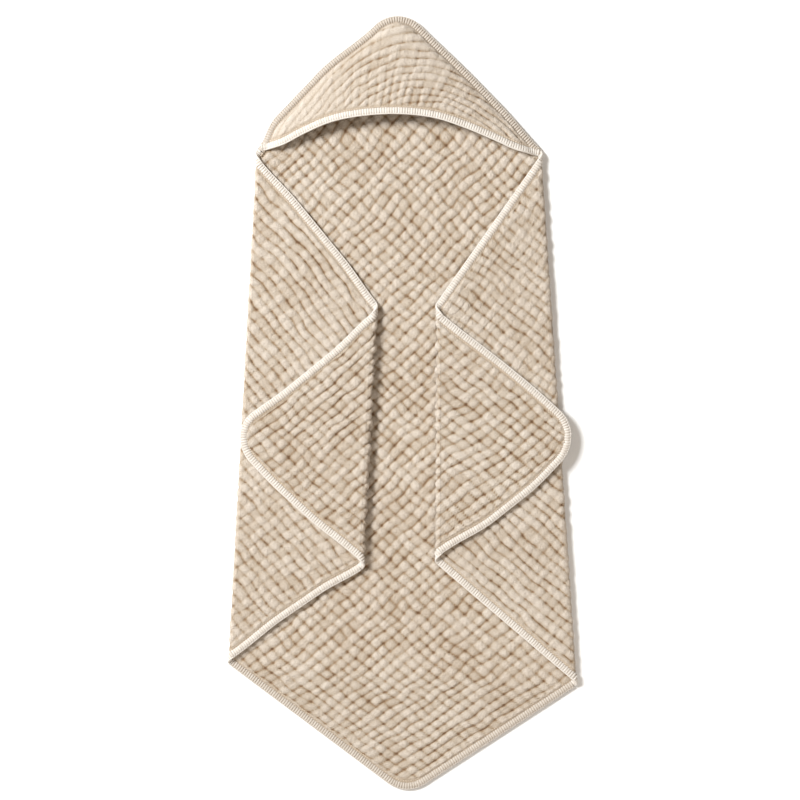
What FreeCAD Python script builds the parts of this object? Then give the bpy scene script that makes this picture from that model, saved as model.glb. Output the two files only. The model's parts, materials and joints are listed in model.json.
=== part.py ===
"""Hooded baby towel, laid out corner-up with both sides folded in and their corners folded back out.

Millimetres, +Z up, +Y towards the hood's corner, origin at the middle of the footprint on the surface
that the towel lies on. The cloth is one square sheet, so each stretch between two folds is a panel, and
each fold is a bend that joins two panels lying one above the other.
"""
import FreeCAD, Part
import math
import os
import Sketcher

os.makedirs("parts", exist_ok=True)
doc = FreeCAD.newDocument("hooded_towel")

# --------------------------------------------------------------------------------------------------
# Driving dimensions, one row each: alias, value in millimetres, what it is.
# --------------------------------------------------------------------------------------------------
SIZES = [
    ("cloth_thickness", 6.0, "crinkled six-layer muslin, measured over its bubbles"),
    ("layer_gap", 1.0, "air between two layers that lie on each other"),
    ("hinge_gap", 0.15, "half the slit between two panels at a fold line"),
    ("fit_gap", 0.1, "clearance between pieces sewn to each other"),
    ("corner_radius", 45.0, "rounding of the sheet's four corners"),
    ("body_length", 718.0, "neck line to foot line, at the middle"),
    ("neck_width", 394.0, "width across the folds at the neck line"),
    ("neck_shift", -5.0, "middle of the neck line from the origin, along X"),
    ("foot_width", 482.0, "width across the folds at the foot line"),
    ("foot_slant", 30.0, "drop of the foot line from its left end to its right end"),
    ("hood_length", 208.9, "neck line to the point where the hood's two edges would meet"),
    ("hood_tip_shift", -2.0, "that point from the middle of the neck line, along X"),
    ("foot_length", 169.0, "foot line to the point where the foot's two edges would meet"),
    ("foot_tip_shift", 4.8, "that point from the origin, along X"),
    ("side_clearance", 10.0, "neck line or foot line to the end of a side fold"),
    ("front_gap_top", 80.0, "opening between the folded sides at its top"),
    ("front_shift_top", 6.0, "middle of that opening from the origin, along X"),
    ("front_gap_bottom", 98.0, "opening between the folded sides at its bottom"),
    ("front_shift_bottom", -4.0, "middle of that opening from the origin, along X"),
    ("left_upper_drop", 203.0, "neck line down to the top of the left inner fold"),
    ("left_lower_rise", 129.0, "foot line up to the bottom of the left inner fold"),
    ("right_upper_drop", 203.0, "neck line down to the top of the right inner fold"),
    ("right_lower_rise", 166.0, "foot line up to the bottom of the right inner fold"),
    ("bend_run", 12.0, "edge length that an inner fold's bend takes up at each end"),
    ("left_corner_reach", 196.0, "left inner fold to the point of the corner folded back"),
    ("left_corner_lean", 2.0, "that point above the middle of the left inner fold"),
    ("right_corner_reach", 206.0, "right inner fold to the point of the corner folded back"),
    ("right_corner_lean", -4.5, "that point above the middle of the right inner fold"),
    ("hem_thickness", 2.0, "cloth pressed flat inside the edging"),
    ("edging_width", 10.0, "overlocked edging, across the edge"),
    ("edging_thickness", 5.0, "overlocked edging, over both faces"),
    ("edging_wall", 2.0, "yarn outside the cut edge of the cloth"),
    ("thread_width", 0.8, "row of needle thread, across the row"),
    ("thread_height", 0.5, "row of needle thread, above the edging"),
    ("hood_rise", 40.0, "inside height of the hood's vault, carried on to the neck line"),
    ("hood_land", 12.0, "strip of the hood's front that lies on its back, beside each seam"),
    ("rim_height", 54.5, "neck line to the top of the hood's arched front edge, in plan"),
]

sheet = doc.addObject("Spreadsheet::Sheet", "sizes")
for row, (alias, size, meaning) in enumerate(SIZES, start=1):
    sheet.set(f"A{row}", alias)
    sheet.set(f"B{row}", str(size))
    sheet.set(f"C{row}", meaning)
    sheet.setAlias(f"B{row}", alias)
doc.recompute()

# --------------------------------------------------------------------------------------------------
# Places worked out from the driving dimensions: name, formula.
# --------------------------------------------------------------------------------------------------
PLACES = [
    ("bend_radius", "sizes.cloth_thickness + sizes.layer_gap / 2"),
    ("layer_two_z", "sizes.cloth_thickness + sizes.layer_gap"),
    ("layer_three_z", "2 * layout.layer_two_z"),
    ("inner_fold_z", "layout.layer_two_z + layout.bend_radius"),
    ("hem_z", "(sizes.cloth_thickness - sizes.hem_thickness) / 2"),
    ("edging_z", "(sizes.cloth_thickness - sizes.edging_thickness) / 2"),
    ("thread_z", "layout.edging_z + sizes.edging_thickness"),
    ("slot_z", "layout.hem_z - sizes.fit_gap"),
    ("slot_height", "sizes.hem_thickness + 2 * sizes.fit_gap"),
    ("panel_inset", "sizes.edging_width + sizes.fit_gap"),
    ("hem_inset", "sizes.edging_wall + sizes.fit_gap"),
    ("thread_inset", "sizes.edging_width - sizes.thread_width"),
    # how much shorter the rounded corner is than the sharp one
    ("hood_rounding", "sizes.corner_radius * (sqrt(1 + (2 * sizes.hood_length / sizes.neck_width)^2) - 1)"),
    ("foot_rounding", "sizes.corner_radius * (sqrt(1 + (2 * sizes.foot_length / sizes.foot_width)^2) - 1)"),
    ("hood_extent", "sizes.hood_length - layout.hood_rounding"),
    ("foot_extent", "sizes.foot_length - layout.foot_rounding"),
    ("neck_y", "(sizes.body_length + layout.foot_extent - layout.hood_extent) / 2"),
    ("foot_y", "layout.neck_y - sizes.body_length"),
    ("neck_left_x", "sizes.neck_shift - sizes.neck_width / 2"),
    ("neck_left_y", "layout.neck_y"),
    ("neck_right_x", "sizes.neck_shift + sizes.neck_width / 2"),
    ("neck_right_y", "layout.neck_y"),
    ("foot_left_x", "-sizes.foot_width / 2"),
    ("foot_left_y", "layout.foot_y + sizes.foot_slant / 2"),
    ("foot_right_x", "sizes.foot_width / 2"),
    ("foot_right_y", "layout.foot_y - sizes.foot_slant / 2"),
    ("hood_tip_x", "sizes.neck_shift + sizes.hood_tip_shift"),
    ("hood_tip_y", "layout.neck_y + sizes.hood_length"),
    ("foot_tip_x", "sizes.foot_tip_shift"),
    ("foot_tip_y", "layout.foot_y - sizes.foot_length"),
    # fold lines of the centre, which are the axes of its bends
    ("left_neck_x", "layout.neck_left_x + layout.bend_radius"),
    ("left_neck_y", "layout.neck_y"),
    ("right_neck_x", "layout.neck_right_x - layout.bend_radius"),
    ("right_neck_y", "layout.neck_y"),
    ("foot_lean", "sizes.foot_slant / sizes.foot_width"),
    ("left_foot_x", "layout.foot_left_x + layout.bend_radius"),
    ("left_foot_y", "layout.foot_left_y - layout.bend_radius * layout.foot_lean"),
    ("right_foot_x", "layout.foot_right_x - layout.bend_radius"),
    ("right_foot_y", "layout.foot_right_y + layout.bend_radius * layout.foot_lean"),
    # inner folds, as the middle layer meets them
    ("left_inner_top_x", "sizes.front_shift_top - sizes.front_gap_top / 2 - layout.bend_radius"),
    ("left_inner_top_y", "layout.neck_y - sizes.left_upper_drop"),
    ("left_inner_bottom_x", "sizes.front_shift_bottom - sizes.front_gap_bottom / 2 - layout.bend_radius"),
    ("left_inner_bottom_y", "layout.foot_left_y + sizes.left_lower_rise"),
    ("right_inner_top_x", "sizes.front_shift_top + sizes.front_gap_top / 2 + layout.bend_radius"),
    ("right_inner_top_y", "layout.neck_y - sizes.right_upper_drop"),
    ("right_inner_bottom_x", "sizes.front_shift_bottom + sizes.front_gap_bottom / 2 + layout.bend_radius"),
    ("right_inner_bottom_y", "layout.foot_right_y + sizes.right_lower_rise"),
]

for hand, outward in (("left", "-"), ("right", "+")):
    outer_lean = f"layout.{hand}_outer_lean"
    inner_lean = f"layout.{hand}_inner_lean"
    middle_x = f"(layout.{hand}_inner_top_x + layout.{hand}_inner_bottom_x) / 2"
    middle_y = f"(layout.{hand}_inner_top_y + layout.{hand}_inner_bottom_y) / 2"
    PLACES += [
        # sideways lean of each fold line for one millimetre up it
        (f"{hand}_outer_lean", f"(layout.{hand}_neck_x - layout.{hand}_foot_x)"
                               f" / (layout.{hand}_neck_y - layout.{hand}_foot_y)"),
        (f"{hand}_inner_lean", f"(layout.{hand}_inner_top_x - layout.{hand}_inner_bottom_x)"
                               f" / (layout.{hand}_inner_top_y - layout.{hand}_inner_bottom_y)"),
        # outer folds, clear of the neck line and the foot line
        (f"{hand}_outer_top_x", f"layout.{hand}_neck_x - sizes.side_clearance * {outer_lean}"),
        (f"{hand}_outer_top_y", f"layout.{hand}_neck_y - sizes.side_clearance"),
        (f"{hand}_outer_bottom_x", f"layout.{hand}_foot_x + sizes.side_clearance * {outer_lean}"),
        (f"{hand}_outer_bottom_y", f"layout.{hand}_foot_y + sizes.side_clearance"),
        # inner folds, as the top layer leaves them after the bend
        (f"{hand}_back_top_x", f"layout.{hand}_inner_top_x - sizes.bend_run * {inner_lean}"),
        (f"{hand}_back_top_y", f"layout.{hand}_inner_top_y - sizes.bend_run"),
        (f"{hand}_back_bottom_x", f"layout.{hand}_inner_bottom_x + sizes.bend_run * {inner_lean}"),
        (f"{hand}_back_bottom_y", f"layout.{hand}_inner_bottom_y + sizes.bend_run"),
        (f"{hand}_tip_x", f"{middle_x} {outward} sizes.{hand}_corner_reach"),
        (f"{hand}_tip_y", f"{middle_y} + sizes.{hand}_corner_lean"),
    ]

PLACES += [
    ("rim_radius", "(sizes.rim_height^2 + (sizes.neck_width / 2)^2) / (2 * sizes.rim_height)"),
    ("rim_centre_y", "layout.neck_y + sizes.rim_height - layout.rim_radius"),
    # how fast the hood narrows towards its corner, to each side of its middle
    ("hood_taper", "sizes.neck_width / 2 / sizes.hood_length"),
    ("hood_slope", "sqrt(1 + layout.hood_taper^2)"),
    ("vault_base_z", "sizes.cloth_thickness + sizes.fit_gap"),
    ("vault_end_y", "layout.neck_y + layout.hood_extent"),
    # the cavity stops where it has narrowed to the width of one seam land
    ("cavity_end_y", "layout.hood_tip_y - (sizes.hood_land + (layout.panel_inset + sizes.hood_land)"
                     " * layout.hood_slope) / layout.hood_taper"),
]

layout = doc.addObject("App::VarSet", "layout")
for place, formula in PLACES:
    layout.addProperty("App::PropertyFloat", place)
    layout.setExpression(place, formula)
doc.recompute()


def number(expression):
    """Value of an expression of the sheet and the layout, in millimetres."""
    result = sheet.evalExpression(expression)
    return float(getattr(result, "Value", result))


def place(name):
    """Point of the layout, in plan."""
    return FreeCAD.Vector(number(f"layout.{name}_x"), number(f"layout.{name}_y"), 0)


# --------------------------------------------------------------------------------------------------
# Sketches
# --------------------------------------------------------------------------------------------------
def new_body(label):
    body = doc.addObject("PartDesign::Body", label)
    body.Label = label
    return body


def new_sketch(body, name, plane, offset=None):
    """Sketch on one of the body's origin planes, moved along its normal by an expression."""
    sketch = body.newObject("Sketcher::SketchObject", name)
    base = [feature for feature in body.Origin.OriginFeatures if feature.Role == plane][0]
    sketch.AttachmentSupport = [(base, "")]
    sketch.MapMode = "FlatFace"
    if offset is not None:
        sketch.setExpression("AttachmentOffset.Base.z", offset)
    return sketch


def bind(sketch, kind, parts, expression):
    """Add a dimension whose value stays tied to an expression."""
    index = sketch.addConstraint(Sketcher.Constraint(kind, *parts, number(expression)))
    sketch.setExpression(f"Constraints[{index}]", expression)


def crossing(point_a, along_a, point_b, along_b):
    """Where two lines in plan cross."""
    gap = point_b - point_a
    cross = along_a.x * along_b.y - along_a.y * along_b.x
    return point_a + along_a * ((gap.x * along_b.y - gap.y * along_b.x) / cross)


def outline(sketch, corners, insets, rounded=None, radius=None):
    """Closed outline inside the named corners, each edge inset by its own expression (None for none).

    The corners run anticlockwise. Edge i runs from corner i to the next. The corner with index rounded
    gets a tangent arc of the given radius.
    """
    count = len(corners)
    points = [place(name) for name in corners]
    along = [(points[(i + 1) % count] - points[i]).normalize() for i in range(count)]
    inward = [FreeCAD.Vector(-a.y, a.x, 0) for a in along]
    depth = [0 if inset is None else number(inset) for inset in insets]
    vertex = [crossing(points[i] + inward[i] * depth[i], along[i],
                       points[i - 1] + inward[i - 1] * depth[i - 1], along[i - 1]) for i in range(count)]
    start = list(vertex)
    end = [vertex[(i + 1) % count] for i in range(count)]
    if rounded is not None:
        half_turn = along[rounded - 1].getAngle(along[rounded]) / 2
        trim = number(radius) * math.tan(half_turn)
        start[rounded] = vertex[rounded] + along[rounded] * trim
        end[rounded - 1] = vertex[rounded] - along[rounded - 1] * trim

    for i in range(count):
        guide = sketch.addGeometry(Part.LineSegment(points[i], points[(i + 1) % count]), True)
        bind(sketch, "DistanceX", (-1, 1, guide, 1), f"layout.{corners[i]}_x")
        bind(sketch, "DistanceY", (-1, 1, guide, 1), f"layout.{corners[i]}_y")
    for i in range(count):
        sketch.addConstraint(Sketcher.Constraint("Coincident", i, 2, (i + 1) % count, 1))
    for i in range(count):
        edge = sketch.addGeometry(Part.LineSegment(start[i], end[i]))
        sketch.addConstraint(Sketcher.Constraint("Parallel", edge, i))
        if insets[i] is None:
            sketch.addConstraint(Sketcher.Constraint("PointOnObject", edge, 1, i))
        else:
            bind(sketch, "Distance", (edge, 1, i), insets[i])
    for i in range(count):
        if i != rounded:
            sketch.addConstraint(Sketcher.Constraint("Coincident", count + (i - 1) % count, 2, count + i, 1))
    if rounded is not None:
        centre = end[rounded - 1] + inward[rounded - 1] * number(radius)
        turn_from = math.atan2(-inward[rounded - 1].y, -inward[rounded - 1].x)
        circle = Part.Circle(centre, FreeCAD.Vector(0, 0, 1), number(radius))
        arc = sketch.addGeometry(Part.ArcOfCircle(circle, turn_from, turn_from + 2 * half_turn))
        before = count + (rounded - 1) % count
        sketch.addConstraint(Sketcher.Constraint("Tangent", before, 2, arc, 1))
        sketch.addConstraint(Sketcher.Constraint("Tangent", arc, 2, count + rounded, 1))
        bind(sketch, "Radius", (arc,), radius)


def arch(sketch, middle_x, base_z, half_width, rise):
    """Segment of a circle standing on a flat base, in a plane across the towel."""
    radius = f"(({rise})^2 + ({half_width})^2) / (2 * ({rise}))"
    low = FreeCAD.Vector(number(middle_x) - number(half_width), number(base_z), 0)
    high = FreeCAD.Vector(number(middle_x) + number(half_width), number(base_z), 0)
    crown = FreeCAD.Vector(number(middle_x), number(base_z) + number(rise), 0)
    base = sketch.addGeometry(Part.LineSegment(low, high))
    curve = sketch.addGeometry(Part.Arc(high, crown, low))
    sketch.addConstraint(Sketcher.Constraint("Coincident", base, 2, curve, 1))
    sketch.addConstraint(Sketcher.Constraint("Coincident", base, 1, curve, 2))
    bind(sketch, "DistanceX", (-1, 1, base, 1), f"{middle_x} - ({half_width})")
    bind(sketch, "DistanceY", (-1, 1, base, 1), base_z)
    bind(sketch, "DistanceX", (-1, 1, base, 2), f"{middle_x} + ({half_width})")
    bind(sketch, "DistanceY", (-1, 1, base, 2), base_z)
    bind(sketch, "Radius", (curve,), radius)


def half_ring(sketch, middle_x, middle_z, inner, outer, side):
    """Half of a ring on the side -1 or +1 of an upright line, in a plane across the towel."""
    centre = FreeCAD.Vector(number(middle_x), number(middle_z), 0)
    up = FreeCAD.Vector(0, 1, 0)
    out = FreeCAD.Vector(side, 0, 0)
    curves = []
    for size in (inner, outer):
        reach = number(size)
        ends = (centre - up * reach, centre + out * reach, centre + up * reach)
        if side < 0:
            ends = ends[::-1]
        curves.append(sketch.addGeometry(Part.Arc(*ends)))
        bind(sketch, "Radius", (curves[-1],), size)
        bind(sketch, "DistanceX", (-1, 1, curves[-1], 3), middle_x)
        bind(sketch, "DistanceY", (-1, 1, curves[-1], 3), middle_z)
        for end in (1, 2):
            sketch.addConstraint(Sketcher.Constraint("Vertical", curves[-1], end, curves[-1], 3))
    for end, level in ((1, -side), (2, side)):
        near = centre + up * (level * number(inner))
        far = centre + up * (level * number(outer))
        closing = sketch.addGeometry(Part.LineSegment(near, far))
        sketch.addConstraint(Sketcher.Constraint("Coincident", closing, 1, curves[0], end))
        sketch.addConstraint(Sketcher.Constraint("Coincident", closing, 2, curves[1], end))


# --------------------------------------------------------------------------------------------------
# Features
# --------------------------------------------------------------------------------------------------
def slab(body, kind, name, base_z, height, corners, insets, rounded, inset):
    """Pad or Pocket of an outline between base_z and base_z + height, inside its body."""
    sketch = new_sketch(body, f"{name}_outline", "XY_Plane", base_z)
    radius = "sizes.corner_radius" if inset is None else f"sizes.corner_radius - {inset}"
    outline(sketch, corners, insets, rounded, radius)
    feature = body.newObject(f"PartDesign::{kind}", name)
    feature.Profile = sketch
    feature.Reversed = kind == "Pocket"
    feature.setExpression("Length", height)
    return feature


def insets_for(corners, free, free_inset, hinge_inset):
    """One inset per edge: the free edges of the cloth get one value, the fold lines the other."""
    return [free_inset if edge in free else hinge_inset for edge in range(len(corners))]


def cloth_panel(label, corners, free=(), rounded=None, level=None):
    """Panel of cloth, thick between its fold lines and pressed thin where its edging grips it."""
    body = new_body(label)
    insets = insets_for(corners, free, "layout.panel_inset", "sizes.hinge_gap")
    slab(body, "Pad", f"{label}_cloth", "0", "sizes.cloth_thickness", corners, insets, rounded,
         "layout.panel_inset")
    if free:
        insets = insets_for(corners, free, "layout.hem_inset", "sizes.hinge_gap")
        slab(body, "Pad", f"{label}_hem", "layout.hem_z", "sizes.hem_thickness", corners, insets, rounded,
             "layout.hem_inset")
    if level:
        body.setExpression("Placement.Base.z", level)
    return body


def edging(label, corners, free, rounded=None, level=None):
    """Overlocked edging: a channel of yarn round the hem along the free edges."""
    body = new_body(label)
    insets = insets_for(corners, free, None, "sizes.hinge_gap")
    slab(body, "Pad", f"{label}_yarn", "layout.edging_z", "sizes.edging_thickness", corners, insets,
         rounded, None)
    insets = insets_for(corners, free, "sizes.edging_width", None)
    slab(body, "Pocket", f"{label}_inside", "layout.edging_z", "sizes.edging_thickness", corners, insets,
         rounded, "sizes.edging_width")
    insets = insets_for(corners, free, "sizes.edging_wall", None)
    slab(body, "Pocket", f"{label}_slot", "layout.slot_z", "layout.slot_height", corners, insets,
         rounded, "sizes.edging_wall")
    if level:
        body.setExpression("Placement.Base.z", level)
    return body


def needle_row(label, corners, free, rounded=None, level=None):
    """Row of needle thread on the edging's upper face, along its inner edge."""
    body = new_body(label)
    insets = insets_for(corners, free, "layout.thread_inset", "sizes.hinge_gap")
    slab(body, "Pad", f"{label}_thread", "layout.thread_z", "sizes.thread_height", corners, insets,
         rounded, "layout.thread_inset")
    insets = insets_for(corners, free, "sizes.edging_width", None)
    slab(body, "Pocket", f"{label}_inside", "layout.thread_z", "sizes.thread_height", corners, insets,
         rounded, "sizes.edging_width")
    if level:
        body.setExpression("Placement.Base.z", level)
    return body


def fold_bend(label, top, bottom, height, side):
    """Bend of cloth along a fold line, bulging to the side -1 or +1."""
    body = new_body(label)
    sections = []
    for end in (bottom, top):
        sketch = new_sketch(body, f"{label}_{end}", "XZ_Plane", f"-layout.{end}_y")
        half_ring(sketch, f"layout.{end}_x", height, "sizes.layer_gap / 2", "layout.bend_radius", side)
        sections.append(sketch)
    loft = body.newObject("PartDesign::AdditiveLoft", f"{label}_loft")
    loft.Profile = sections[0]
    loft.Sections = [sections[1]]
    loft.Ruled = True
    return body


def vault(label, inset, start_y, start_rise, end_y, end_rise):
    """Cone-like vault on the hood's back, narrowing towards the corner between two sections."""
    body = new_body(label)
    sections = []
    for end, section_y, rise in (("wide", start_y, start_rise), ("narrow", end_y, end_rise)):
        half_width = f"(layout.hood_tip_y - {section_y}) * layout.hood_taper - ({inset}) * layout.hood_slope"
        middle_x = f"layout.hood_tip_x - sizes.hood_tip_shift * (layout.hood_tip_y - {section_y})"
        middle_x += " / sizes.hood_length"
        sketch = new_sketch(body, f"{label}_{end}", "XZ_Plane", f"-{section_y}")
        arch(sketch, middle_x, "layout.vault_base_z", half_width, rise)
        sections.append(sketch)
    loft = body.newObject("PartDesign::AdditiveLoft", f"{label}_loft")
    loft.Profile = sections[0]
    loft.Sections = [sections[1]]
    loft.Ruled = True
    return body


def boolean(kind, label, base, tool):
    """Part::Cut or Part::Common of two objects."""
    result = doc.addObject(f"Part::{kind}", label)
    result.Label = label
    result.Base = base
    result.Tool = tool
    return result


def rim_disc(label, extra):
    """Upright cylinder whose side is the hood's front edge in plan, grown by an expression."""
    disc = doc.addObject("Part::Cylinder", label)
    disc.setExpression("Radius", f"layout.rim_radius + {extra}")
    disc.setExpression("Height", "sizes.hood_rise + 4 * sizes.cloth_thickness")
    disc.setExpression("Placement.Base.x", "sizes.neck_shift")
    disc.setExpression("Placement.Base.y", "layout.rim_centre_y")
    return disc


# --------------------------------------------------------------------------------------------------
# The towel's sub-parts
# --------------------------------------------------------------------------------------------------
HOOD = ["neck_left", "neck_right", "hood_tip"]
FOOT = ["foot_right", "foot_left", "foot_tip"]


def make_centre():
    return [cloth_panel("centre_panel", ["left_foot", "right_foot", "right_neck", "left_neck"])]


def make_foot():
    edges = {"free": (1, 2), "rounded": 2}
    return [
        cloth_panel("foot_panel", FOOT, **edges),
        edging("foot_edging", FOOT, **edges),
        needle_row("foot_needle_thread", FOOT, **edges),
    ]


def make_hood_back():
    edges = {"free": (1, 2), "rounded": 2}
    return [
        cloth_panel("hood_back_panel", HOOD, **edges),
        edging("hood_corner_edging", HOOD, **edges),
        needle_row("hood_corner_needle_thread", HOOD, **edges),
    ]


def make_hood_front():
    """The vaulted front of the hood, the edging of its arched edge, and that edging's needle thread."""
    full_rise = "sizes.hood_rise + sizes.cloth_thickness"
    outside = vault("vault_outside", "layout.panel_inset - sizes.hem_thickness", "layout.neck_y",
                    full_rise, "layout.vault_end_y", "sizes.cloth_thickness / 2")
    raised = vault("vault_raised", "layout.panel_inset - sizes.hem_thickness", "layout.neck_y",
                   f"{full_rise} + sizes.thread_height", "layout.vault_end_y",
                   "sizes.cloth_thickness / 2 + sizes.thread_height")
    cavity = vault("vault_cavity", "layout.panel_inset + sizes.hood_land", "layout.neck_y",
                   "sizes.hood_rise", "layout.cavity_end_y", "sizes.hem_thickness")
    shell = boolean("Cut", "vault_shell", outside, cavity)

    prism = new_body("hood_front_prism")
    slab(prism, "Pad", "hood_front_prism_pad", "0", "sizes.hood_rise + 3 * sizes.cloth_thickness", HOOD,
         insets_for(HOOD, (1, 2), "layout.panel_inset", None), 2, "layout.panel_inset")

    trimmed = boolean("Common", "vault_trimmed", shell, prism)
    front = boolean("Cut", "hood_front_panel", trimmed,
                    rim_disc("front_edge_disc", "sizes.edging_width + sizes.fit_gap"))

    collar = boolean("Cut", "rim_collar", rim_disc("rim_outer_disc", "sizes.edging_width"),
                     rim_disc("rim_inner_disc", "0"))
    rim = boolean("Common", "hood_rim_edging", trimmed, collar)

    film = boolean("Cut", "vault_film", raised, outside)
    film_trimmed = boolean("Common", "vault_film_trimmed", film, prism)
    row = boolean("Cut", "rim_row", rim_disc("row_outer_disc", "sizes.edging_width"),
                  rim_disc("row_inner_disc", "layout.thread_inset"))
    thread = boolean("Common", "hood_rim_needle_thread", film_trimmed, row)
    return [front, rim, thread]


def make_side(hand):
    """One folded side: the layer folded in, the corner folded back out, and the two bends."""
    if hand == "left":
        side = ["left_outer_bottom", "left_inner_bottom", "left_inner_top", "left_outer_top"]
        corner = ["left_tip", "left_back_bottom", "left_back_top"]
        outward = -1
    else:
        side = ["right_inner_bottom", "right_outer_bottom", "right_outer_top", "right_inner_top"]
        corner = ["right_tip", "right_back_top", "right_back_bottom"]
        outward = 1
    lower = 0
    upper = 2
    corner_edges = {"free": (0, 2), "rounded": 0}
    two = "layout.layer_two_z"
    three = "layout.layer_three_z"
    return [
        cloth_panel(f"{hand}_side_panel", side, (lower, upper), level=two),
        edging(f"{hand}_side_upper_edging", side, (upper,), level=two),
        edging(f"{hand}_side_lower_edging", side, (lower,), level=two),
        needle_row(f"{hand}_side_upper_needle_thread", side, (upper,), level=two),
        needle_row(f"{hand}_side_lower_needle_thread", side, (lower,), level=two),
        cloth_panel(f"{hand}_corner_panel", corner, level=three, **corner_edges),
        edging(f"{hand}_corner_edging", corner, level=three, **corner_edges),
        needle_row(f"{hand}_corner_needle_thread", corner, level=three, **corner_edges),
        fold_bend(f"{hand}_outer_fold", f"{hand}_outer_top", f"{hand}_outer_bottom",
                  "layout.bend_radius", outward),
        fold_bend(f"{hand}_inner_fold", f"{hand}_back_top", f"{hand}_back_bottom",
                  "layout.inner_fold_z", -outward),
    ]


subparts = make_centre() + make_foot() + make_hood_back() + make_hood_front()
subparts += make_side("left") + make_side("right")
doc.recompute()

for thing in doc.Objects:
    faults = {"Invalid", "Error"} & set(thing.State)
    if faults:
        raise RuntimeError(f"{thing.Label}: {sorted(faults)}")
for subpart in subparts:
    if subpart.Shape.isNull() or not subpart.Shape.isValid() or not subpart.Shape.Solids:
        raise RuntimeError(f"{subpart.Label}: no sound solid")
for subpart in subparts:
    subpart.Shape.exportStep(f"parts/{subpart.Label}.step")
    print(f"{subpart.Label}: {len(subpart.Shape.Solids)} solid, {subpart.Shape.Volume:.0f} mm3")
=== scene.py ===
import json
import math

import bmesh
import bpy
import numpy as np
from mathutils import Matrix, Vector


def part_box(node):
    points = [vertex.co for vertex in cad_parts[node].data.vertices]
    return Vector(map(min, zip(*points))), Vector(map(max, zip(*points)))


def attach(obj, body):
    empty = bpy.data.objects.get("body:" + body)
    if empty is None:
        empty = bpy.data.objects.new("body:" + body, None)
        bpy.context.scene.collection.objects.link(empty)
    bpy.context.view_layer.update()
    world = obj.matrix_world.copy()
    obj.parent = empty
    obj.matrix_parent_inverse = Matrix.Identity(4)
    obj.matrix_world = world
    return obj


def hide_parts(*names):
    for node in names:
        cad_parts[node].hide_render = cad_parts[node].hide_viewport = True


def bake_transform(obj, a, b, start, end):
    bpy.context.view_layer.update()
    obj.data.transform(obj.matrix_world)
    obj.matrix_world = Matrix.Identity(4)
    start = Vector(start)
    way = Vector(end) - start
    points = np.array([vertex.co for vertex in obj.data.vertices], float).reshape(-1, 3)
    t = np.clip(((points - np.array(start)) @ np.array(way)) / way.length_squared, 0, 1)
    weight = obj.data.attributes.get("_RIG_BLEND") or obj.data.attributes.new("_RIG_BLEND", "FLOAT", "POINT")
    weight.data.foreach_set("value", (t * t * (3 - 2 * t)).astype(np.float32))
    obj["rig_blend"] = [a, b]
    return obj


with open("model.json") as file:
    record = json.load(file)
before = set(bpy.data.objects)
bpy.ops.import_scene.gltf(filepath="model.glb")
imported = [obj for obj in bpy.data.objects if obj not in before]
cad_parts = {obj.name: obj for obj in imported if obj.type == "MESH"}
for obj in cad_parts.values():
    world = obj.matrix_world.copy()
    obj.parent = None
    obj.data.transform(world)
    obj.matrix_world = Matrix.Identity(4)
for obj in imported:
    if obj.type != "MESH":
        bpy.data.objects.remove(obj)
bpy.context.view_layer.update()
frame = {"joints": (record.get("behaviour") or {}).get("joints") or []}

# --------------------------------------------------------------------------------------------------
# Sizes, in metres
# --------------------------------------------------------------------------------------------------
SAMPLE = 0.0021             # distance between two points of the cloth's surface
PITCH = 0.0128              # from one bubble of the muslin to the next
WANDER = 0.0046             # how far the rows of bubbles stray from straight
JITTER = 0.0026             # how far a bubble strays from its place in the row
HALF_PUFF = 0.0038          # middle of the cloth to the top of a full bubble
HALF_PRESS = 0.0002         # middle of the cloth to the bottom of a crease
HALF_HEM = 0.0009           # middle of the cloth to its face inside the edging
HEM_PRESSED = 0.0104        # width of the hem that the edging and its seam press flat
HEM_RISE = 0.0042           # and over which the cloth rises to its full height beside it
HEM_PAINTED_SHADE = 0.34             # how light the painted crease shade leaves the cloth there, from 0 as dark as in a crease to 1 as light as on a bubble
LAYERS = (0.0030, 0.0100, 0.0170)   # middle of each of the three layers of cloth above the floor
BEND = 0.0035               # middle of the cloth to the axis of a fold
FOLD_ROOM = 0.10            # share of a sample that a layer stops short of a fold
SHEET_SIDE = 0.80           # side of the square of cloth
CORNER_RADIUS = 0.045
EDGING_WIDTH = 0.0100
EDGING_HEIGHT = 0.0054
WRAP_PITCH = 0.0035         # from one wrap of the overlock yarn to the next
THREAD_WIDTH = 0.0009
DIAGONAL = 1.4              # how far a corner's tip, or the end of a slanting edge, moves in for each unit of inset
SEED = 7
UP = np.array([0.0, 0.0, 1.0])
SIGN = {"left": -1, "right": 1}     # side of the towel on which a hand's X lies

# --------------------------------------------------------------------------------------------------
# Lines and corners in plan
# --------------------------------------------------------------------------------------------------
joints = {joint["name"]: joint for joint in frame["joints"]}


def joint_line(name):
    """Point and direction, in plan, of a joint's axis."""
    joint = joints[name]
    return np.array(joint["pos_m"][:2], float), np.array(joint["axis"][:2], float)


NECK_Y = joints["hood_lift"]["pos_m"][1]
LINES = {"left_outer": joint_line("left_side_unfold"), "right_outer": joint_line("right_side_unfold"),
         "left_inner": joint_line("left_corner_unfold"), "right_inner": joint_line("right_corner_unfold")}
FOLD_Z = {"outer": joints["left_side_unfold"]["pos_m"][2], "inner": joints["left_corner_unfold"]["pos_m"][2]}
FOOT_POINT, FOOT_ALONG = joint_line("foot_tuck")
TIPS = {"hood": (-0.0070, 0.5533), "foot": (0.0048, -0.5426), "left": (-0.2460, -0.0440), "right": (0.2570, -0.0451)}
TIPS = {name: np.array(place) for name, place in TIPS.items()}


def on_line(name, y):
    """Point of a fold line at a given Y."""
    point, along = LINES[name]
    return point + along * ((y - point[1]) / along[1])


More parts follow.
